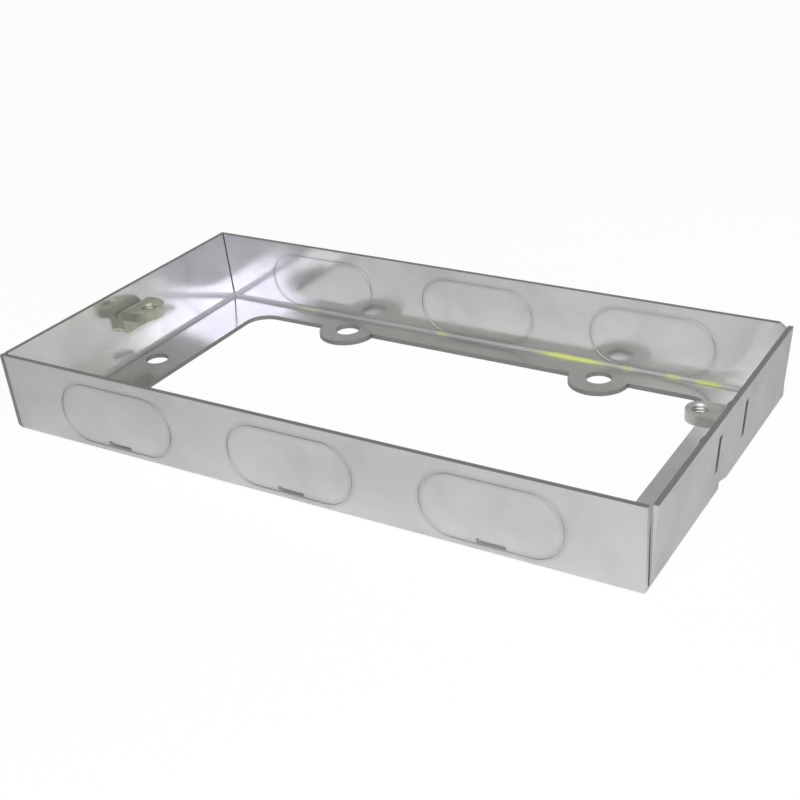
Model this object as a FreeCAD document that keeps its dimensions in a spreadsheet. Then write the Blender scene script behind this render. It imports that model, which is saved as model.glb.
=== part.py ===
import FreeCAD, Part
import math
import os
import Sketcher

# Flush back box for two accessories: a tray folded from galvanised sheet, open at the back inside a
# flange, with a fixed lug on its left end wall and a sliding lug on its right one.
# Frame: X along the length, Y across the width, Z up to the rim, origin under the middle of the tray.

SIZES = (
    ("BoxLength", 132.3, "tray, outside length at the fold"),
    ("BoxWidth", 72.0, "tray, outside width"),
    ("BoxDepth", 16.5, "tray, underside to rim"),
    ("SheetThickness", 1.0, "tray sheet"),
    ("BendInner", 0.8, "inside radius of the tray's fold"),
    ("WallLean", 1.3, "how far an end wall leans out at its rim"),
    ("SeamGap", 0.25, "open seam between an end wall and a long wall"),
    ("ClipLength", 1.6, "clipped end of the back wall, along the rim"),
    ("ClipDrop", 1.2, "clipped end of the back wall, down from the rim"),
    ("FlangeSide", 6.9, "flange of a long wall, from the wall's outside"),
    ("FlangeLeft", 12.3, "flange of the left end wall"),
    ("FlangeRight", 11.3, "flange of the right end wall"),
    ("OpeningCorner", 5.0, "corner radius of the open back"),
    ("RingPitch", 60.3, "fixing rings, centre to centre"),
    ("RingShift", 0.5, "middle of a pair of rings, from the middle of the tray"),
    ("RingInset", 6.8, "ring's centre from the long wall's outside"),
    ("RingDiameter", 12.6, "fixing ring"),
    ("RingHole", 5.4, "hole of a fixing ring"),
    ("KnockoutPitch", 39.5, "knockouts, centre to centre"),
    ("KnockoutLength", 26.4, "knockout, end to end"),
    ("KnockoutHeight", 12.2, "knockout, across"),
    ("KnockoutLift", 8.1, "knockout's centre above the underside"),
    ("GrooveWidth", 0.35, "sheared line round a knockout"),
    ("GrooveDepth", 0.15, "depth of that line on either face"),
    ("PrySlotLength", 5.5, "slot in a knockout's lower edge for a screwdriver"),
    ("PrySlotHeight", 1.1, "height of that slot"),
    ("PrySlotDepth", 0.6, "depth of that slot, from the wall's outside"),
    ("ScrewInset", 5.85, "lug hole from the outside of its end wall, at the fold"),
    ("ScrewPassage", 5.0, "hole in the flange for the end of a lug's screw"),
    ("LugSheet", 2.0, "lug metal"),
    ("LugBend", 0.5, "inside radius of a lug's bend"),
    ("LugThread", 3.5, "lug's tapped hole"),
    ("FixedTop", 13.3, "top of the fixed lug above the underside"),
    ("FixedEnd", 2.9, "fixed lug's end past its hole"),
    ("FixedWidth", 8.8, "fixed lug, across"),
    ("LegBottom", 8.0, "lower end of the fixed lug's leg"),
    ("LegCorner", 1.2, "corner radius of that end"),
    ("SliderTop", 12.5, "top of the sliding lug above the underside"),
    ("SliderEnd", 2.7, "sliding lug's end past its hole"),
    ("SliderWidth", 5.9, "sliding lug between its loops"),
    ("SliderRest", 4.2, "where the sliding lug stands, across the box"),
    ("SliderPlay", 0.1, "play of the sliding lug in its loops"),
    ("BandHeight", 2.9, "sliding lug's band, which runs through the loops"),
    ("BandThickness", 1.2, "thickness of that band"),
    ("BandOverhang", 0.6, "band past a loop at the end of its travel"),
    ("LoopPitch", 14.0, "keeper loops, centre to centre"),
    ("LoopCentre", 1.5, "middle of the two loops, across the box"),
    ("LoopWidth", 1.4, "strip of wall pressed in as a loop"),
    ("LoopLow", 6.3, "lower end of a loop"),
    ("LoopHigh", 13.5, "upper end of a loop"),
    ("LoopSlope", 1.9, "height over which a loop leaves the wall, on its hollow side"),
    ("LoopThickness", 0.6, "drawn-out metal of a loop"),
    ("NotchStart", -2.6, "relief under the sliding lug, across the box"),
    ("NotchEnd", 6.0, "where that relief runs out"),
    ("NotchHeight", 2.8, "height of that relief"),
)


class Length:
    """A number of millimetres, together with the sheet expression that gives it."""

    def __init__(self, number, text):
        self.number = number
        self.text = text

    def __add__(self, other):
        return Length(self.number + other.number, f"({self.text} + {other.text})")

    def __sub__(self, other):
        return Length(self.number - other.number, f"({self.text} - {other.text})")

    def __mul__(self, factor):
        return Length(self.number * factor, f"({self.text} * {factor})")

    def __neg__(self):
        return self * -1

    def share(self, part, whole):
        """As much of this length as the part is of the whole."""
        return Length(self.number * part.number / whole.number, f"({self.text} * {part.text} / {whole.text})")


ZERO = Length(0.0, "0")
SAME = 1e-6  # millimetres within which two places are one


def make_sheet(doc):
    """Write the driving dimensions into a sheet and return them as lengths, by name."""
    sheet = doc.addObject("Spreadsheet::Sheet", "Sizes")
    lengths = {}
    for row, (alias, number, note) in enumerate(SIZES, start=1):
        sheet.set(f"A{row}", note)
        sheet.set(f"B{row}", str(number))
        sheet.setAlias(f"B{row}", alias)
        lengths[alias] = Length(number, f"Sizes.{alias}")
    doc.recompute()
    return lengths


def bind(item, name, length):
    item.setExpression(name, length.text)


def new_body(doc, label):
    body = doc.addObject("PartDesign::Body", label)
    body.Label = label
    return body


def new_sketch(body, name, plane, offset=ZERO):
    """Empty sketch parallel to one of the body's origin planes, offset along that plane's normal."""
    support = next(item for item in body.Origin.OriginFeatures if item.Role == plane)
    sketch = body.newObject("Sketcher::SketchObject", name)
    sketch.AttachmentSupport = [(support, "")]
    sketch.MapMode = "FlatFace"
    bind(sketch, "AttachmentOffset.Base.z", offset)
    return sketch


def constrain(sketch, kind, *terms):
    """Add a constraint; a length as its last term is bound to the sheet."""
    if isinstance(terms[-1], Length):
        index = sketch.addConstraint(Sketcher.Constraint(kind, *terms[:-1], terms[-1].number))
        bind(sketch, f"Constraints[{index}]", terms[-1])
    else:
        sketch.addConstraint(Sketcher.Constraint(kind, *terms))


def locate(sketch, geometry, point, x, y):
    constrain(sketch, "DistanceX", -1, 1, geometry, point, x)
    constrain(sketch, "DistanceY", -1, 1, geometry, point, y)


def vector(x, y):
    return FreeCAD.Vector(x.number, y.number, 0)


def outline(sketch, points):
    """Closed outline of straight lines through the points."""
    ends = points[1:] + points[:1]
    lines = [sketch.addGeometry(Part.LineSegment(vector(*a), vector(*b))) for a, b in zip(points, ends)]
    for line, following, start in zip(lines, lines[1:] + lines[:1], points):
        constrain(sketch, "Coincident", line, 2, following, 1)
        locate(sketch, line, 1, *start)


def round_ended(sketch, points, centre):
    """Outline of straight lines through the points, closed anticlockwise by a half circle."""
    pairs = zip(points, points[1:])
    lines = [sketch.addGeometry(Part.LineSegment(vector(*a), vector(*b))) for a, b in pairs]
    locate(sketch, lines[0], 1, *points[0])
    for line, point in zip(lines, points[1:]):
        locate(sketch, line, 2, *point)
    for line, following in zip(lines, lines[1:]):
        constrain(sketch, "Coincident", line, 2, following, 1)
    spoke = vector(*points[-1]) - vector(*centre)
    turn = math.atan2(spoke.y, spoke.x)
    whole = Part.Circle(vector(*centre), FreeCAD.Vector(0, 0, 1), spoke.Length)
    end = sketch.addGeometry(Part.ArcOfCircle(whole, turn, turn + math.pi))
    constrain(sketch, "Coincident", lines[-1], 2, end, 1)
    constrain(sketch, "Coincident", end, 2, lines[0], 1)
    level = near(points[0][1].number, points[-1][1])
    kind, free_place = ("DistanceY", centre[1]) if level else ("DistanceX", centre[0])
    constrain(sketch, kind, -1, 1, end, 3, free_place)


def rectangle(sketch, left, right, low, high):
    outline(sketch, [(left, low), (right, low), (right, high), (left, high)])


def circle(sketch, x, y, diameter):
    ring = sketch.addGeometry(Part.Circle(vector(x, y), FreeCAD.Vector(0, 0, 1), diameter.number / 2))
    constrain(sketch, "Diameter", ring, diameter)
    locate(sketch, ring, 3, x, y)


def stadium(sketch, x, y, length, height):
    """Round-ended outline, its long way along the sketch's first axis."""
    reach = (length - height) * 0.5
    radius = height * 0.5
    left, right = x - reach, x + reach
    low, high = y - radius, y + radius
    quarter = math.pi / 2
    normal = FreeCAD.Vector(0, 0, 1)
    ends = []
    for centre, start in ((left, quarter), (right, -quarter)):
        round_end = Part.Circle(vector(centre, y), normal, radius.number)
        ends.append(sketch.addGeometry(Part.ArcOfCircle(round_end, start, start + math.pi)))
        locate(sketch, ends[-1], 3, centre, y)
    bottom = sketch.addGeometry(Part.LineSegment(vector(left, low), vector(right, low)))
    top = sketch.addGeometry(Part.LineSegment(vector(right, high), vector(left, high)))
    loop = (ends[0], bottom, ends[1], top)
    for piece, following in zip(loop, loop[1:] + loop[:1]):
        constrain(sketch, "Tangent", piece, 2, following, 1)
    constrain(sketch, "Equal", ends[0], ends[1])
    constrain(sketch, "Radius", ends[0], radius)


def pad(body, sketch, length, side="One side"):
    """Add the sketch's area, drawn out along its normal or to both sides of its plane."""
    feature = body.newObject("PartDesign::Pad", sketch.Name + "_pad")
    feature.Profile = sketch
    feature.SideType = side
    bind(feature, "Length", length)


def pocket(body, sketch, length, along_normal=False, side="One side"):
    """Cut the sketch's area to a depth, against its normal unless told otherwise, and test that it cut."""
    body.Document.recompute()
    before = body.Shape.Volume
    feature = body.newObject("PartDesign::Pocket", sketch.Name + "_pocket")
    feature.Profile = sketch
    feature.SideType = side
    feature.Reversed = along_normal
    bind(feature, "Length", length)
    body.Document.recompute()
    if body.Shape.Volume >= before:
        raise RuntimeError(f"{sketch.Name} cuts nothing")


def fillet(body, name, radius, chosen):
    """Round the edges of the body's last feature whose boxes satisfy the test."""
    body.Document.recompute()
    base = body.Tip
    names = [f"Edge{number}" for number, edge in enumerate(base.Shape.Edges, 1) if chosen(edge.BoundBox)]
    feature = body.newObject("PartDesign::Fillet", name)
    feature.Base = (base, names)
    bind(feature, "Radius", radius)


def near(value, length):
    return abs(value - length.number) < SAME


def at_height(length):
    return lambda box: near(box.ZMin, length) and near(box.ZMax, length)


def along_width(x, z):
    """Test for an edge that runs across the box at a given x and z."""
    return lambda box: near(box.XMin, x) and near(box.XMax, x) and at_height(z)(box)


def wall_face(size, height):
    """Outside of an end wall at a height, from the middle of the tray."""
    return size["BoxLength"] * 0.5 + size["WallLean"].share(height, size["BoxDepth"])


def screw_reach(size):
    """Lug hole from the middle of the tray."""
    return size["BoxLength"] * 0.5 - size["ScrewInset"]


def make_tray(doc, size):
    """Folded tray with its open back, fixing rings, knockouts, seams and keeper loops."""
    body = new_body(doc, "box_body")
    sheet = size["SheetThickness"]
    depth = size["BoxDepth"]
    side = size["BoxWidth"] * 0.5
    foot, rim = wall_face(size, ZERO), wall_face(size, depth)
    sketch = new_sketch(body, "outside", "XZ_Plane")
    outline(sketch, [(-foot, ZERO), (foot, ZERO), (rim, depth), (-rim, depth)])
    pad(body, sketch, size["BoxWidth"], "Symmetric")
    fillet(body, "fold_outside", size["BendInner"] + sheet, at_height(ZERO))

    foot, rim = wall_face(size, sheet) - sheet, rim - sheet
    sketch = new_sketch(body, "inside", "XZ_Plane")
    outline(sketch, [(-foot, sheet), (foot, sheet), (rim, depth), (-rim, depth)])
    pocket(body, sketch, size["BoxWidth"] - sheet * 2, side="Symmetric")
    fillet(body, "fold_inside", size["BendInner"], at_height(sheet))

    cut_open_back(body, size, side)
    add_fixing_rings(body, size, side)
    cut_screw_passages(body, size)
    cut_seams(body, size, side)
    cut_knockouts(body, size, side)
    add_keeper_loops(body, size)
    cut_relief(body, size)
    return body


def cut_open_back(body, size, side):
    """Opening inside the flange, with round corners."""
    sheet = size["SheetThickness"]
    end = size["BoxLength"] * 0.5
    reach = side - size["FlangeSide"]
    sketch = new_sketch(body, "open_back", "XY_Plane", sheet)
    rectangle(sketch, size["FlangeLeft"] - end, end - size["FlangeRight"], -reach, reach)
    pocket(body, sketch, sheet)
    fillet(body, "open_back_corners", size["OpeningCorner"],
           lambda box: near(box.ZMin, ZERO) and near(box.ZMax, sheet) and box.XLength + box.YLength < SAME)


def add_fixing_rings(body, size, side):
    """Round fixing lugs in the plane of the flange, a pair on each long wall's flange."""
    sheet = size["SheetThickness"]
    radius = size["RingDiameter"] * 0.5
    row = side - size["RingInset"]
    root = side - size["FlangeSide"] * 0.5
    columns = [size["RingShift"] + size["RingPitch"] * step for step in (-0.5, 0.5)]
    centres = [(x, sign) for x in columns for sign in (-1, 1)]
    sketch = new_sketch(body, "rings", "XY_Plane")
    for x, sign in centres:
        first, last = x + radius * sign, x - radius * sign
        middle, inner = row * sign, root * sign
        round_ended(sketch, [(first, middle), (first, inner), (last, inner), (last, middle)], (x, middle))
    pad(body, sketch, sheet)
    sketch = new_sketch(body, "ring_holes", "XY_Plane", sheet)
    for x, sign in centres:
        circle(sketch, x, row * sign, size["RingHole"])
    pocket(body, sketch, sheet)


def slide_travel(size):
    """How far the sliding lug goes to either side of the middle of its loops."""
    return (size["LoopPitch"] - size["LoopWidth"] - size["SliderWidth"]) * 0.5


def cut_screw_passages(body, size):
    """Holes in the flange under the lugs: round on the left, as long as the lug's travel on the right."""
    sheet = size["SheetThickness"]
    hole = size["ScrewPassage"]
    reach = screw_reach(size)
    sketch = new_sketch(body, "left_screw_passage", "XY_Plane", sheet)
    circle(sketch, -reach, ZERO, hole)
    pocket(body, sketch, sheet)
    sketch = new_sketch(body, "right_screw_passage", "XY_Plane", sheet)
    sketch.AttachmentOffset.Rotation = FreeCAD.Rotation(FreeCAD.Vector(0, 0, 1), 90)
    stadium(sketch, size["LoopCentre"], -reach, hole + slide_travel(size) * 2, hole)
    pocket(body, sketch, sheet)


def cut_seams(body, size, side):
    """Open seams beside the end walls, upright right ends of the long walls, and one clipped wall end."""
    sheet = size["SheetThickness"]
    depth = size["BoxDepth"]
    end = size["BoxLength"] * 0.5
    rim = wall_face(size, depth)
    wall = side - sheet
    for name, offset, along_normal in (("front_ends", side, False), ("back_ends", -side, True)):
        sketch = new_sketch(body, name, "XZ_Plane", offset)
        outline(sketch, [(end, ZERO), (rim, depth), (end, depth)])
        pocket(body, sketch, sheet, along_normal)
    sketch = new_sketch(body, "seams", "XY_Plane", depth)
    for left, right in ((-rim, sheet - end), (end - sheet, rim)):
        rectangle(sketch, left, right, wall - size["SeamGap"], wall)
        rectangle(sketch, left, right, -wall, size["SeamGap"] - wall)
    pocket(body, sketch, depth - size["BendInner"] - sheet)
    sketch = new_sketch(body, "clipped_end", "XZ_Plane", -side)
    outline(sketch, [(end - size["ClipLength"], depth), (end, depth), (end, depth - size["ClipDrop"])])
    pocket(body, sketch, sheet, along_normal=True)


def cut_knockouts(body, size, side):
    """Sheared line of each knockout on both faces of the long walls, and the screwdriver slots outside."""
    sheet = size["SheetThickness"]
    lift = size["KnockoutLift"]
    long_way, short_way = size["KnockoutLength"], size["KnockoutHeight"]
    groove = size["GrooveWidth"]
    centres = [size["KnockoutPitch"] * step for step in (-1, 0, 1)]
    faces = (
        ("front_outer", side, False),
        ("front_inner", side - sheet, True),
        ("back_outer", -side, True),
        ("back_inner", sheet - side, False),
    )
    for name, offset, along_normal in faces:
        sketch = new_sketch(body, name + "_knockouts", "XZ_Plane", offset)
        for x in centres:
            stadium(sketch, x, lift, long_way + groove, short_way + groove)
            stadium(sketch, x, lift, long_way - groove, short_way - groove)
        pocket(body, sketch, size["GrooveDepth"], along_normal)
    low = lift - short_way * 0.5
    half_slot = size["PrySlotLength"] * 0.5
    for name, offset, along_normal in (("front", side, False), ("back", -side, True)):
        sketch = new_sketch(body, name + "_pry_slots", "XZ_Plane", offset)
        for x in centres:
            rectangle(sketch, x - half_slot, x + half_slot, low, low + size["PrySlotHeight"])
        pocket(body, sketch, size["PrySlotDepth"], along_normal)


def band_span(size):
    """Lower and upper edge of the sliding lug's band, halfway up its loops."""
    middle = (size["LoopLow"] + size["LoopHigh"]) * 0.5
    half = size["BandHeight"] * 0.5
    return middle - half, middle + half


def slider_back(size):
    """Face of the sliding lug that is next to the right end wall."""
    band_bottom = band_span(size)[0]
    return wall_face(size, band_bottom) - size["SheetThickness"] - size["SliderPlay"]


def add_keeper_loops(body, size):
    """Two narrow strips of the right wall, cut free at their sides and pressed in over the lug's band."""
    sheet = size["SheetThickness"]
    low, high = size["LoopLow"], size["LoopHigh"]
    low_face, high_face = wall_face(size, low), wall_face(size, high)
    half_width = size["LoopWidth"] * 0.5
    hollow = slider_back(size) - size["BandThickness"] - size["SliderPlay"]
    crown = hollow - size["LoopThickness"]
    slope = size["LoopSlope"]
    shoulder = slope - size["LoopThickness"]
    places = [size["LoopCentre"] + size["LoopPitch"] * step for step in (-0.5, 0.5)]
    sketch = new_sketch(body, "loop_windows", "YZ_Plane", high_face)
    for place in places:
        rectangle(sketch, place - half_width, place + half_width, low, high)
    pocket(body, sketch, high_face - low_face + sheet)
    for name, place in zip(("front_loop", "rear_loop"), places):
        sketch = new_sketch(body, name, "XZ_Plane", -place)
        outline(sketch, [
            (high_face, high), (high_face - sheet, high), (crown, high - shoulder), (crown, low + shoulder),
            (low_face - sheet, low), (low_face, low), (hollow, low + slope), (hollow, high - slope),
        ])
        pad(body, sketch, size["LoopWidth"], "Symmetric")


def cut_relief(body, size):
    """Wedge taken out of the right wall's fold, under the sliding lug."""
    start, finish = size["NotchStart"], size["NotchEnd"]
    height = size["NotchHeight"]
    face = wall_face(size, height)
    sketch = new_sketch(body, "relief", "YZ_Plane", face)
    outline(sketch, [(start, ZERO), (finish, ZERO), (start, height)])
    pocket(body, sketch, size["WallLean"] + size["BendInner"] + size["SheetThickness"])


def add_bracket(body, size, leg, hole, end, width):
    """Angle of a leg and a round-ended ear; the leg's outer face runs from its foot to its head."""
    (foot, low), (head, top) = leg
    metal = size["LugSheet"]
    towards = 1 if hole.number > head.number else -1
    under = top - metal
    corner = head + metal * towards
    half = width * 0.5 * towards
    middle = hole + end * towards - half
    inner_foot = foot + metal * towards
    sketch = new_sketch(body, "angle", "XZ_Plane")
    outline(sketch, [
        (foot, low), (head, top), (middle, top), (middle, under), (corner, under), (inner_foot, low),
    ])
    pad(body, sketch, width, "Symmetric")
    sketch = new_sketch(body, "round_end", "XY_Plane", under)
    round_ended(sketch, [(middle, half), (middle, -half)], (middle, ZERO))
    pad(body, sketch, metal)
    fillet(body, "bend_outside", metal + size["LugBend"], along_width(head, top))
    fillet(body, "bend_inside", size["LugBend"], along_width(corner, under))
    sketch = new_sketch(body, "tapped_hole", "XY_Plane", top)
    circle(sketch, hole, ZERO, size["LugThread"])
    pocket(body, sketch, metal)


def make_fixed_lug(doc, size):
    """Angle bracket welded to the left end wall: its leg leans with the wall, its ear is level."""
    body = new_body(doc, "fixed_lug")
    sheet = size["SheetThickness"]
    low, top = size["LegBottom"], size["FixedTop"]
    leg = [(sheet - wall_face(size, height), height) for height in (low, top)]
    add_bracket(body, size, leg, -screw_reach(size), size["FixedEnd"], size["FixedWidth"])
    fillet(body, "leg_corners", size["LegCorner"], lambda box: at_height(low)(box) and box.YLength < SAME)
    return body


def make_sliding_lug(doc, size):
    """Angle bracket on a flat band that runs through the keeper loops of the right end wall."""
    body = new_body(doc, "adjustable_lug")
    band = size["BandThickness"]
    back = slider_back(size)
    low, high = band_span(size)
    half_band = (size["LoopPitch"] + size["LoopWidth"]) * 0.5 + slide_travel(size) + size["BandOverhang"]
    leg = [(back, low), (back, size["SliderTop"])]
    add_bracket(body, size, leg, screw_reach(size), size["SliderEnd"], size["SliderWidth"])
    sketch = new_sketch(body, "band", "YZ_Plane", back - band)
    rectangle(sketch, -half_band, half_band, low, high)
    pad(body, sketch, band)
    bind(body, "Placement.Base.y", size["SliderRest"])
    return body


def check_document(doc, bodies):
    """Stop if any feature failed, or a sub-part isn't one valid solid."""
    doc.recompute()
    failed = [item.Name for item in doc.Objects if {"Invalid", "Error"} & set(item.State)]
    if failed:
        raise RuntimeError("failed features: " + ", ".join(failed))
    for body in bodies:
        shape = body.Shape
        if shape.isNull() or not shape.isValid() or len(shape.Solids) != 1:
            raise RuntimeError(f"{body.Label} isn't one valid solid")


def main():
    doc = FreeCAD.newDocument("FlushBackBox")
    size = make_sheet(doc)
    bodies = [make_tray(doc, size), make_fixed_lug(doc, size), make_sliding_lug(doc, size)]
    check_document(doc, bodies)
    os.makedirs("parts", exist_ok=True)
    for body in bodies:
        body.Shape.exportStep(os.path.join("parts", body.Label + ".step"))
        print(body.Label, "volume", round(body.Shape.Volume, 1), "mm3", body.Shape.BoundBox)


main()
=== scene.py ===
import bpy
import math
import numpy as np
from mathutils import Matrix, Vector


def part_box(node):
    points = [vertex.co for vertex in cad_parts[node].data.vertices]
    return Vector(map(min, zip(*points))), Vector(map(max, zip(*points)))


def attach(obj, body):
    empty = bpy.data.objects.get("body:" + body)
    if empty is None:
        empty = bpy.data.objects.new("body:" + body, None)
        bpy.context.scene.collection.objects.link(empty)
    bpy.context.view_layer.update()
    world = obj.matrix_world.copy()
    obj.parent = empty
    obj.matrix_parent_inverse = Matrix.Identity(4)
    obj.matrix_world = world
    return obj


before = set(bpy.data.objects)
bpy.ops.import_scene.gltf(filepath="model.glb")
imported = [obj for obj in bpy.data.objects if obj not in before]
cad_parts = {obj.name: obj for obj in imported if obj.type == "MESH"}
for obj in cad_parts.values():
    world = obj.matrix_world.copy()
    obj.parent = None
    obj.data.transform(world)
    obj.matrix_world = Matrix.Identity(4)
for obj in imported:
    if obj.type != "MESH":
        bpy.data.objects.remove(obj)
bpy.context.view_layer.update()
mm = 0.001  # metres in a millimetre

boxLow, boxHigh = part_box("box_body")
scene = bpy.context.scene


# small helpers for shader trees

def addNode(tree, kind, **settings):
    node = tree.nodes.new(kind)
    for name, value in settings.items():
        setattr(node, name, value)
    return node


def feed(tree, socket, source):  # a socket is linked, a plain value is written on the input
    if isinstance(source, bpy.types.NodeSocket):
        tree.links.new(source, socket)
    else:
        socket.default_value = source


def maths(tree, operation, first, second=0.0, third=0.0, clamp=False):
    node = addNode(tree, "ShaderNodeMath", operation=operation, use_clamp=clamp)
    for socket, source in zip(node.inputs, (first, second, third)):
        feed(tree, socket, source)
    return node.outputs[0]


def above(tree, value, limit):  # 1 or 0
    return maths(tree, "GREATER_THAN", value, limit)


def below(tree, value, limit):  # 1 or 0
    return maths(tree, "LESS_THAN", value, limit)


def sizeOf(tree, value):
    return maths(tree, "ABSOLUTE", value)


def offBy(tree, value, middle):  # distance from a middle, either way
    return sizeOf(tree, maths(tree, "SUBTRACT", value, middle))


def slant(tree, first, second):  # straight distance across two others at right angles
    squares = maths(tree, "MULTIPLY_ADD", first, first, maths(tree, "MULTIPLY", second, second))
    return maths(tree, "SQRT", squares)


def allOf(tree, first, *others):
    for other in others:
        first = maths(tree, "MULTIPLY", first, other)
    return first


def anyOf(tree, first, *others):
    for other in others:
        first = maths(tree, "MAXIMUM", first, other)
    return first


def ramp(tree, value, low, high, outLow=0.0, outHigh=1.0):  # smooth step from low to high
    node = addNode(tree, "ShaderNodeMapRange", interpolation_type="SMOOTHSTEP")
    for name, source in (("Value", value), ("From Min", low), ("From Max", high),
                         ("To Min", outLow), ("To Max", outHigh)):
        feed(tree, node.inputs[name], source)
    return node.outputs["Result"]


def fadeOut(tree, value, low, high, full=1.0):
    return ramp(tree, value, low, high, full, 0.0)


def blendValue(tree, factor, pair):
    first, second = pair
    return maths(tree, "MULTIPLY_ADD", factor, second - first, first)


def mixColour(tree, factor, first, second):
    node = addNode(tree, "ShaderNodeMix", data_type="RGBA")
    feed(tree, node.inputs[0], factor)
    feed(tree, node.inputs[6], first)
    feed(tree, node.inputs[7], second)
    return node.outputs[2]


def noise(tree, vector, scale, detail=3.0, roughness=0.5, distortion=0.0):
    node = addNode(tree, "ShaderNodeTexNoise")
    for name, source in (("Vector", vector), ("Scale", scale), ("Detail", detail),
                         ("Roughness", roughness), ("Distortion", distortion)):
        feed(tree, node.inputs[name], source)
    return node.outputs["Fac"]


def stretched(tree, vector, scale):
    node = addNode(tree, "ShaderNodeMapping")
    feed(tree, node.inputs["Vector"], vector)
    feed(tree, node.inputs["Scale"], scale)
    return node.outputs["Vector"]


def axes(tree, vector):
    node = addNode(tree, "ShaderNodeSeparateXYZ")
    feed(tree, node.inputs[0], vector)
    return node.outputs


def newGroup(name, *results):  # takes Vector and Scale, gives the named values
    group = bpy.data.node_groups.new(name, "ShaderNodeTree")
    for label, kind in (("Vector", "NodeSocketVector"), ("Scale", "NodeSocketFloat")):
        group.interface.new_socket(label, in_out="INPUT", socket_type=kind)
    for label in results:
        group.interface.new_socket(label, in_out="OUTPUT", socket_type="NodeSocketFloat")
    return group, addNode(group, "NodeGroupInput").outputs, addNode(group, "NodeGroupOutput").inputs


def place(tree, group, vector, scale):
    node = addNode(tree, "ShaderNodeGroup", node_tree=group)
    feed(tree, node.inputs["Vector"], vector)
    feed(tree, node.inputs["Scale"], scale)
    return node.outputs


# shared effects

crystal = {
    "smoothness": 0.8,      # of the borders between crystals
    "share": 0.6,           # of the crystals in the tone
    "grainScale": 2200.0,
    "grainShare": 0.4,
    "rippleScale": 700.0,   # height for bump
}


def makeSpangle():  # frozen zinc crystals, each a little lighter or darker, over a fine grain
    group, given, result = newGroup("zincSpangle", "Tone", "Height")
    point = given["Vector"]
    cells = addNode(group, "ShaderNodeTexVoronoi", feature="SMOOTH_F1")
    for name, source in (("Vector", point), ("Scale", given["Scale"]), ("Smoothness", crystal["smoothness"])):
        feed(group, cells.inputs[name], source)
    grey = addNode(group, "ShaderNodeRGBToBW")
    feed(group, grey.inputs[0], cells.outputs["Color"])
    grain = noise(group, point, crystal["grainScale"], detail=4.0, roughness=0.6)
    cellTone = maths(group, "MULTIPLY", grey.outputs[0], crystal["share"])
    feed(group, result["Tone"], maths(group, "MULTIPLY_ADD", grain, crystal["grainShare"], cellTone))
    feed(group, result["Height"], noise(group, point, crystal["rippleScale"]))
    return group


handling = {
    "cloudRange": (0.3, 0.72),         # of the noise, from clean to handled
    "rubRange": (0.4, 0.85),
    "rubScale": 420.0,
    "rubStretch": (0.2, 0.2, 1.0),     # drawn out along the sheet
}


def makeSmudge():  # cloudy handling marks, and drawn-out rub marks along the sheet
    group, given, result = newGroup("handlingSmudge", "Cloud", "Rub")
    point = given["Vector"]
    cloud = noise(group, point, given["Scale"], distortion=0.3)
    feed(group, result["Cloud"], ramp(group, cloud, *handling["cloudRange"]))
    drawn = stretched(group, point, handling["rubStretch"])
    rub = noise(group, drawn, handling["rubScale"], detail=2.0, distortion=0.2)
    feed(group, result["Rub"], ramp(group, rub, *handling["rubRange"]))
    return group


spangle = makeSpangle()
smudge = makeSmudge()
print("shared effects made")


def newFinish(name):
    material = bpy.data.materials.new(name)
    material.use_nodes = True
    tree = material.node_tree
    return material, tree, tree.nodes["Principled BSDF"], addNode(tree, "ShaderNodeTexCoord").outputs


def zincPatterns(tree, point, look):
    crystals = place(tree, spangle, point, look["crystalScale"])
    return crystals, place(tree, smudge, point, look["smudgeScale"])


def addBump(tree, shader, height, strength, depth):
    bump = addNode(tree, "ShaderNodeBump")
    for name, source in (("Strength", strength), ("Distance", depth), ("Height", height)):
        feed(tree, bump.inputs[name], source)
    feed(tree, shader.inputs["Normal"], bump.outputs["Normal"])


# galvanised tray

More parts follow.
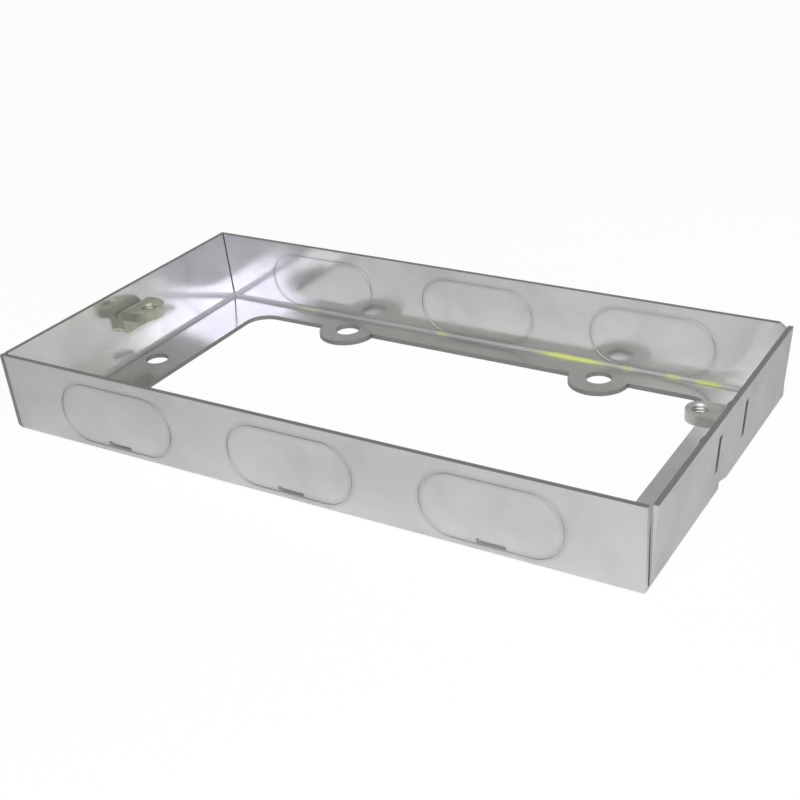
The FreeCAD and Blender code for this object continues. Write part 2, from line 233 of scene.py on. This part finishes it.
tray = {
    "colour": (0.680, 0.682, 0.664, 1.0),        # clean zinc
    "dullColour": (0.590, 0.592, 0.572, 1.0),    # handled zinc
    "cornerGlowColour": (0.680, 0.682, 0.705, 1.0),  # painted highlight: brighter, slightly lilac zinc in the far left corner, standing in for lamp light bounced between the walls and flange there; hardly handled
    "cornerGlowReach": (14.0 * mm, 45.0 * mm),
    "outsideShade": {"X": 0.46, "Y": 0.17},       # painted shade: darker outside of the end walls and of the long walls
    "edgeColour": (0.26, 0.265, 0.25, 1.0),      # sheared edge
    "grooveColour": (0.50, 0.502, 0.485, 1.0),   # knockout line
    "roughness": (0.13, 0.26),                   # clean, handled
    "metallic": (0.97, 0.86),                    # clean, handled
    "edgeRoughness": 0.50,
    "toneSpread": 0.12,
    "crystalScale": 240.0,
    "smudgeScale": 55.0,
    "bump": 0.05,
    "bumpDepth": 0.1 * mm,
    "sheet": 1.0 * mm,
    "wallDepth": 1.1 * mm,                       # a long wall, from its outside to just past its inside
    "rimBand": 0.05 * mm,
    "lean": 1.3 * mm,                            # of an end wall, at the rim
    "turned": {             # how far a face points along an axis
        "levelFrom": 0.7,
        "uprightTo": 0.3,
        "grooveSideTo": 0.5,
        "indoorsTo": 0.1,
    },
    "knockout": {
        "pitch": 39.5 * mm,     # from one to the next
        "size": (26.4 * mm, 12.2 * mm),
        "lift": 8.1 * mm,       # height of its middle
        "haloWidth": 1.1 * mm,  # darker zinc along the line
        "haloLoss": 0.15,
    },
    "fold": {               # painted shade in the crease along the foot of the walls, indoors; rougher zinc there too
        "height": (1.3 * mm, 2.2 * mm),
        "reach": (2.4 * mm, 1.7 * mm),  # inward from the outside of the walls
        "roughness": 0.60,
        "loss": 0.38,
    },
    "keeper": {             # loops in the right end wall
        "middle": 1.5 * mm,     # of the pair, along Y
        "apart": 7.0 * mm,      # from there to each loop
        "half": 0.75 * mm,      # of a loop's width
        "from": 63.0 * mm,      # along X
        "bottom": 6.2 * mm,
        "top": 13.6 * mm,
    },
    "yellowStreak": {              # yellow-green streak in the far fold
        "colour": (0.53, 0.58, 0.18, 1.0),
        "cover": 0.8,       # how far it hides the metal
        "line": {"Y": 34.7 * mm, "Z": 1.3 * mm},  # out and up to the line that it follows
        "reach": (0.5 * mm, 1.1 * mm),  # full this near the line, gone this far from it
        "ragged": 0.6 * mm,
        "grain": 400.0,
        "core": 0.3,        # share of a bit's half length at full strength
        "bits": (           # middle and half length along the box in mm, strength
            (-44.0, 4.0, 0.3),
            (-8.6, 2.0, 0.4),
            (22.3, 10.0, 1.0),
            (34.5, 2.2, 0.5),
            (44.3, 2.2, 0.6),
            (51.6, 3.4, 0.9),
        ),
    },
}


def inLongWall(tree, spot):
    return above(tree, sizeOf(tree, spot["Y"]), boxHigh.y - tray["wallDepth"])


def cutEdgeMask(tree, spot, facing):  # every sheared face of the sheet
    turned, keeper = tray["turned"], tray["keeper"]
    atRim = above(tree, spot["Z"], boxHigh.z - tray["rimBand"])
    rim = allOf(tree, atRim, above(tree, facing["Z"], turned["levelFrom"]))
    upright = below(tree, sizeOf(tree, facing["Z"]), turned["uprightTo"])
    flangeEdge = allOf(tree, below(tree, spot["Z"], tray["sheet"]), upright)
    leaning = maths(tree, "MULTIPLY_ADD", spot["Z"], tray["lean"] / boxHigh.z, spot["X"])
    atLeftEnd = below(tree, leaning, boxLow.x + tray["lean"] + tray["sheet"])
    lapped = allOf(tree, inLongWall(tree, spot), atLeftEnd)
    fromLoop = offBy(tree, offBy(tree, spot["Y"], keeper["middle"]), keeper["apart"])
    loop = allOf(tree, above(tree, spot["X"], keeper["from"]), below(tree, fromLoop, keeper["half"]),
                 above(tree, spot["Z"], keeper["bottom"]), below(tree, spot["Z"], keeper["top"]))
    return anyOf(tree, rim, flangeEdge, lapped, loop)


def grooveMask(tree, spot, facing):  # sides of the cut lines in the long walls
    sideways = below(tree, sizeOf(tree, facing["Y"]), tray["turned"]["grooveSideTo"])
    lifted = above(tree, spot["Z"], tray["fold"]["height"][0])
    return allOf(tree, inLongWall(tree, spot), sideways, lifted)


def haloMask(tree, spot):  # fades with the distance from the outline of the nearest knockout
    knockout = tray["knockout"]
    length, height = knockout["size"]
    fromMiddle = sizeOf(tree, spot["X"])
    nearest = maths(tree, "MINIMUM", fromMiddle, offBy(tree, fromMiddle, knockout["pitch"]))
    pastStraight = maths(tree, "MAXIMUM", maths(tree, "SUBTRACT", nearest, (length - height) / 2), 0.0)
    rise = maths(tree, "SUBTRACT", spot["Z"], knockout["lift"])
    away = offBy(tree, slant(tree, pastStraight, rise), height / 2)
    return allOf(tree, inLongWall(tree, spot), fadeOut(tree, away, 0.0, knockout["haloWidth"]))


def cornerGlowMask(tree, point):  # painted highlight: 1 in the far left corner, fading out
    away = addNode(tree, "ShaderNodeVectorMath", operation="DISTANCE")
    feed(tree, away.inputs[0], point)
    feed(tree, away.inputs[1], (boxLow.x, boxHigh.y, 0.0))
    return fadeOut(tree, away.outputs["Value"], *tray["cornerGlowReach"])


def yellowStreakMask(tree, spot, point):  # broken streak along the fold of the far wall
    yellowStreak = tray["yellowStreak"]
    away = slant(tree, *[maths(tree, "SUBTRACT", spot[axis], line) for axis, line in yellowStreak["line"].items()])
    ragged = maths(tree, "MULTIPLY_ADD", noise(tree, point, yellowStreak["grain"]), yellowStreak["ragged"], away)
    bits = []
    for middle, half, strength in yellowStreak["bits"]:
        along = offBy(tree, spot["X"], middle * mm)
        bits.append(fadeOut(tree, along, yellowStreak["core"] * half * mm, half * mm, strength))
    return allOf(tree, fadeOut(tree, ragged, *yellowStreak["reach"]), anyOf(tree, *bits))


def outwardShare(tree, spot, facing, axis):  # 1 where a face looks away from the middle of the box
    return maths(tree, "MULTIPLY", facing[axis], maths(tree, "SIGN", spot[axis]), clamp=True)


def creaseShadeMask(tree, spot, facing):  # painted shade: band along the foot of each wall, indoors
    fold, limit = tray["fold"], tray["turned"]["indoorsTo"]
    near, far = fold["reach"]
    foot = {"X": boxHigh.x - tray["lean"], "Y": boxHigh.y}
    beside = [ramp(tree, sizeOf(tree, spot[axis]), foot[axis] - near, foot[axis] - far) for axis in foot]
    outward = anyOf(tree, *[outwardShare(tree, spot, facing, axis) for axis in foot])
    indoors = allOf(tree, below(tree, outward, limit), above(tree, facing["Z"], -limit))
    return allOf(tree, fadeOut(tree, spot["Z"], *fold["height"]), anyOf(tree, *beside), indoors)


def outsideShadeTone(tree, spot, facing):  # painted shade: 1 indoors, darker on the outside faces
    tone = 1.0
    for axis, loss in tray["outsideShade"].items():
        lost = maths(tree, "MULTIPLY", outwardShare(tree, spot, facing, axis), loss)
        tone = maths(tree, "SUBTRACT", tone, lost)
    return tone


def makeTrayZinc():
    material, tree, shader, coords = newFinish("galvanisedSheet")
    point = coords["Object"]
    crystals, marks = zincPatterns(tree, point, tray)
    spot, facing = axes(tree, point), axes(tree, coords["Normal"])
    cut = cutEdgeMask(tree, spot, facing)
    creaseShade = creaseShadeMask(tree, spot, facing)
    groove = grooveMask(tree, spot, facing)
    cornerGlow = cornerGlowMask(tree, point)
    streaked = yellowStreakMask(tree, spot, point)

    # handling marks over clean zinc, then a painted highlight in the far left corner
    wearAndGlowColour = mixColour(tree, marks["Cloud"], tray["colour"], tray["dullColour"])
    wearAndGlowColour = mixColour(tree, cornerGlow, wearAndGlowColour, tray["cornerGlowColour"])
    tone = maths(tree, "MULTIPLY_ADD", crystals["Tone"], tray["toneSpread"], 1.0 - tray["toneSpread"] / 2)
    # painted shade in the creases at the foot of the walls, then darker zinc along the knockout lines
    for mask, loss in ((creaseShade, tray["fold"]["loss"]), (haloMask(tree, spot), tray["knockout"]["haloLoss"])):
        tone = maths(tree, "MULTIPLY", tone, blendValue(tree, mask, (1.0, 1.0 - loss)))
    zinc = addNode(tree, "ShaderNodeVectorMath", operation="SCALE")
    feed(tree, zinc.inputs[0], wearAndGlowColour)
    # the outside faces get their painted shade here
    feed(tree, zinc.inputs["Scale"], maths(tree, "MULTIPLY", tone, outsideShadeTone(tree, spot, facing)))
    colour = zinc.outputs[0]
    paints = (tray["yellowStreak"]["colour"], tray["grooveColour"], tray["edgeColour"])
    for mask, paint in zip((streaked, groove, cut), paints):
        colour = mixColour(tree, mask, colour, paint)
    feed(tree, shader.inputs["Base Color"], colour)

    worn = maths(tree, "MAXIMUM", marks["Cloud"], marks["Rub"])
    # less wear, so smoother zinc, under the painted corner highlight
    worn = maths(tree, "MULTIPLY", worn, maths(tree, "SUBTRACT", 1.0, cornerGlow))
    rough = blendValue(tree, worn, tray["roughness"])
    sheared = anyOf(tree, cut, groove)
    for mask, least in ((creaseShade, tray["fold"]["roughness"]), (sheared, tray["edgeRoughness"])):
        rough = maths(tree, "MAXIMUM", rough, maths(tree, "MULTIPLY", mask, least))
    feed(tree, shader.inputs["Roughness"], rough)

    bare = blendValue(tree, marks["Cloud"], tray["metallic"])
    metal = maths(tree, "MULTIPLY_ADD", streaked, -tray["yellowStreak"]["cover"], bare)
    feed(tree, shader.inputs["Metallic"], metal)
    addBump(tree, shader, crystals["Height"], tray["bump"], tray["bumpDepth"])
    return material


# lugs

lug = {
    "fixed": {              # painted shade: a duller, darker, olive-tinted copy of the lug zinc, standing in for the shade and dark reflections on this lug; rubbed
        "colour": (0.440, 0.446, 0.350, 1.0),
        "wornColour": (0.560, 0.562, 0.490, 1.0),
    },
    "sliding": {            # plainer zinc
        "colour": (0.490, 0.492, 0.462, 1.0),
        "wornColour": (0.600, 0.602, 0.580, 1.0),
    },
    "roughness": (0.28, 0.44),  # clean, rubbed
    "metallic": 0.85,
    "crystalScale": 700.0,
    "smudgeScale": 260.0,
    "bump": 0.10,
    "bumpDepth": 0.1 * mm,
}


def makeLugFinish(kind):
    material, tree, shader, coords = newFinish(kind + "Lug")
    crystals, marks = zincPatterns(tree, coords["Object"], lug)
    # for the fixed lug these colours carry painted shade
    colour = mixColour(tree, marks["Cloud"], lug[kind]["colour"], lug[kind]["wornColour"])
    feed(tree, shader.inputs["Base Color"], colour)
    feed(tree, shader.inputs["Roughness"], blendValue(tree, marks["Rub"], lug["roughness"]))
    feed(tree, shader.inputs["Metallic"], lug["metallic"])
    addBump(tree, shader, crystals["Height"], lug["bump"], lug["bumpDepth"])
    return material


finishes = {
    "box_body": makeTrayZinc(),
    "fixed_lug": makeLugFinish("fixed"),
    "adjustable_lug": makeLugFinish("sliding"),
}
for name, material in finishes.items():
    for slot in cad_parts[name].material_slots:
        slot.material = material
print("tray and lugs finished")


# threads in the lugs

thread = {
    "radius": 1.75 * mm,    # of the plain hole it lines
    "depth": 0.30 * mm,
    "pitch": 0.60 * mm,
    "sheet": 2.0 * mm,
    "inset": 0.04 * mm,     # kept back from both faces of the ear
    "runOut": 0.25 * mm,    # chamfer at each mouth
    "steps": (96, 61),      # round, along
    "fixed_lug": {"spot": (-60.3 * mm, 0.0), "body": "box"},
    "adjustable_lug": {"spot": (60.3 * mm, 4.2 * mm), "body": "lug"},
}


# Inner radius: the hole's radius less a rounded ridge that climbs one pitch per turn,
# faded at both mouths. The outside is a plain cylinder just past the hole.
def threadGrid(tall):
    around, along = thread["steps"]
    angles = np.linspace(0.0, 2 * np.pi, around, endpoint=False)
    turn, rise = np.meshgrid(angles, np.linspace(0.0, 1.0, along), indexing="ij")
    ridge = 0.5 - 0.5 * np.cos(2 * np.pi * rise * tall / thread["pitch"] - turn)
    fade = np.clip(np.minimum(rise, 1.0 - rise) * tall / thread["runOut"], 0.0, 1.0)
    inner = thread["radius"] - thread["depth"] * ridge * fade
    outer = np.full((around, 2), thread["radius"] + thread["inset"])
    height = np.hstack([rise, np.ones((around, 1)), np.zeros((around, 1))]) * tall
    return np.hstack([turn, turn[:, :2]]), np.hstack([inner, outer]), height


def ringQuads(around, rows):  # joins a grid to itself both ways
    i, j = np.meshgrid(np.arange(around), np.arange(rows), indexing="ij")
    nextI, nextJ = (i + 1) % around, (j + 1) % rows
    corners = ((i, j), (i, nextJ), (nextI, nextJ), (nextI, j))
    return np.stack([column * rows + row for column, row in corners], axis=-1).reshape(-1, 4)


def makeThread(name):
    x, y = thread[name]["spot"]
    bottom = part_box(name)[1].z - thread["sheet"] + thread["inset"]
    turn, radius, height = threadGrid(thread["sheet"] - 2 * thread["inset"])
    points = np.stack([x + radius * np.cos(turn), y + radius * np.sin(turn), bottom + height], axis=-1)
    quads = ringQuads(*turn.shape)
    mesh = bpy.data.meshes.new(name + "_thread")
    mesh.from_pydata(points.reshape(-1, 3).tolist(), [], quads.tolist())
    mesh.polygons.foreach_set("use_smooth", np.ones(len(quads), dtype=bool))
    mesh.materials.append(finishes[name])
    piece = bpy.data.objects.new(name + "_thread", mesh)
    scene.collection.objects.link(piece)
    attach(piece, thread[name]["body"])


for name in ("fixed_lug", "adjustable_lug"):
    makeThread(name)
print("threads cut")


# floor and surround

studio = {
    "floorSize": 3.0,
    "floorDrop": 0.02 * mm,      # keeps the floor clear of the underside
    "floorColour": (0.92, 0.92, 0.895, 1.0),
    "floorRoughness": 0.9,
    "white": (1.0, 1.0, 1.0, 1.0),
    "whiteSeen": 0.95,           # share of plain white in what the camera sees of the floor
    "whiteMirrored": 0.10,       # and in what metal or glass shows of it
    "worldLight": 0.10,
    "ceiling": 0.50,             # how bright metal sees the upper part of the room
    "ceilingFrom": (0.05, 0.5),  # sine of the angle above the horizon
    "key": {"spot": (0.185, -0.235, 0.214), "size": 0.60, "power": 2.6, "colour": (0.96, 0.95, 1.0)},
    "top": {"spot": (0.0, 0.0, 0.8), "size": 0.5, "power": 0.35, "colour": (1.0, 1.0, 0.96)},
}


def seenDirectly(tree, straight=1.0, mirrored=1.0):  # shares for the camera, and for metal or glass
    path = addNode(tree, "ShaderNodeLightPath").outputs
    mirror = maths(tree, "MAXIMUM", path["Is Glossy Ray"], path["Is Transmission Ray"])
    inMirror = maths(tree, "MULTIPLY", mirror, mirrored)
    return maths(tree, "MULTIPLY_ADD", path["Is Camera Ray"], straight, inMirror)


def makeFloor():
    corners = np.array([(-1, -1), (1, -1), (1, 1), (-1, 1)]) * studio["floorSize"] / 2
    mesh = bpy.data.meshes.new("floor")
    mesh.from_pydata([(x, y, -studio["floorDrop"]) for x, y in corners], [], [(0, 1, 2, 3)])
    floor = bpy.data.objects.new("floor", mesh)
    scene.collection.objects.link(floor)
    material = bpy.data.materials.new("paleFloor")
    material.use_nodes = True
    tree = material.node_tree
    shader = tree.nodes["Principled BSDF"]
    feed(tree, shader.inputs["Base Color"], studio["floorColour"])
    feed(tree, shader.inputs["Roughness"], studio["floorRoughness"])
    glow = addNode(tree, "ShaderNodeEmission")
    feed(tree, glow.inputs["Color"], studio["white"])
    blend = addNode(tree, "ShaderNodeMixShader")
    share = seenDirectly(tree, studio["whiteSeen"], studio["whiteMirrored"])
    for socket, source in zip(blend.inputs, (share, shader.outputs[0], glow.outputs[0])):
        feed(tree, socket, source)
    feed(tree, tree.nodes["Material Output"].inputs["Surface"], blend.outputs[0])
    mesh.materials.append(material)


def makeWorld():
    world = bpy.data.worlds.new("studio")
    scene.world = world
    world.use_nodes = True
    tree = world.node_tree
    sky = tree.nodes["Background"]
    feed(tree, sky.inputs["Color"], studio["white"])
    upward = axes(tree, addNode(tree, "ShaderNodeTexCoord").outputs["Generated"])["Z"]
    seen = ramp(tree, upward, *studio["ceilingFrom"], 1.0, studio["ceiling"])
    direct = seenDirectly(tree)
    lit = maths(tree, "MULTIPLY", maths(tree, "SUBTRACT", 1.0, direct), studio["worldLight"])
    feed(tree, sky.inputs["Strength"], maths(tree, "MULTIPLY_ADD", seen, direct, lit))


view = {
    "spot": (127.458 * mm, -199.866 * mm, 126.349 * mm),
    "aim": (5.94 * mm, -7.38 * mm, 8.25 * mm),  # the lamps look there too
    "roll": -4.0,           # degrees
    "lens": 61.322,
    "sensor": 36.0,
    "clipStart": 0.01,
}


def aimAtBox(name, content, where, roll=0.0):  # holds a lamp or the camera
    holder = bpy.data.objects.new(name, content)
    scene.collection.objects.link(holder)
    spot = Vector(where)
    look = (Vector(view["aim"]) - spot).to_track_quat("-Z", "Y").to_matrix().to_4x4()
    holder.matrix_world = Matrix.Translation(spot) @ look @ Matrix.Rotation(math.radians(roll), 4, "Z")
    return holder


def addLamp(name, settings):
    lamp = bpy.data.lights.new(name, "AREA")
    lamp.shape = "DISK"
    lamp.size = settings["size"]
    lamp.energy = settings["power"]
    lamp.color = settings["colour"]
    aimAtBox(name, lamp, settings["spot"])


def makeCamera():
    camera = bpy.data.cameras.new("camera")
    camera.lens = view["lens"]
    camera.sensor_width = view["sensor"]
    camera.clip_start = view["clipStart"]
    scene.camera = aimAtBox("camera", camera, view["spot"], view["roll"])


makeFloor()
makeWorld()
makeCamera()
for name in ("key", "top"):
    addLamp(name, studio[name])
scene.view_settings.view_transform = "Standard"
print("studio ready")
